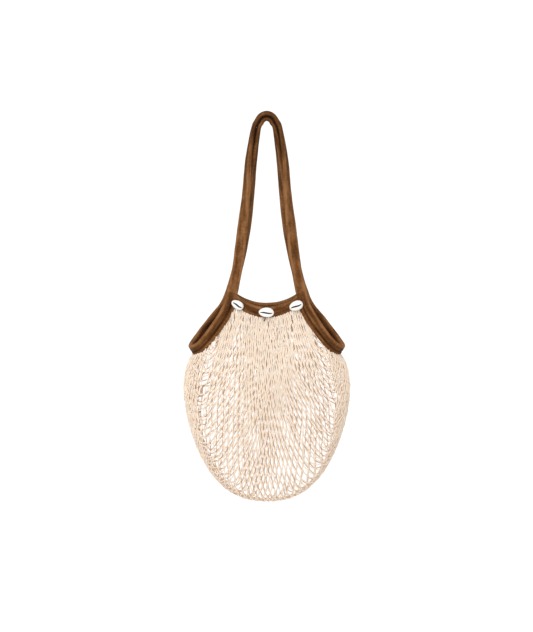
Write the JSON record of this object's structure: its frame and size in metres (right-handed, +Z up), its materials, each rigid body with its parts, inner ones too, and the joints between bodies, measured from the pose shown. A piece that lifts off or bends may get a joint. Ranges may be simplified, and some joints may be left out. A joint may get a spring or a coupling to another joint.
{
  "type": "net market bag",
  "caption": "Hanging string market bag: cream diamond-net pouch, mouth bound in brown knitted tape, long tape straps over one hook, cowrie shells sewn on the front collar.",
  "frame": {"origin": "the point under the top of the inner strap where the bag hangs on a hook or a shoulder", "axes": "+Z up along the hanging bag, -Y out of the front with the shells, +X to the right seen from the front"},
  "size_m": [0.2316, 0.1206, 0.5545],
  "materials": {
    "cotton_net": "matte undyed cotton cord",
    "knit_tape": "matte brown knitted cotton tape",
    "cowrie_shell": "glossy white natural shell"
  },
  "bodies": {
    "root": {"net_body": "cotton_net", "collar_front": "knit_tape", "collar_back": "knit_tape", "side_binding_left": "knit_tape", "side_binding_right": "knit_tape", "strap_front": "knit_tape", "strap_back": "knit_tape", "shell_left": "cowrie_shell", "shell_middle": "cowrie_shell", "shell_right": "cowrie_shell"}
  },
  "joints": []
}
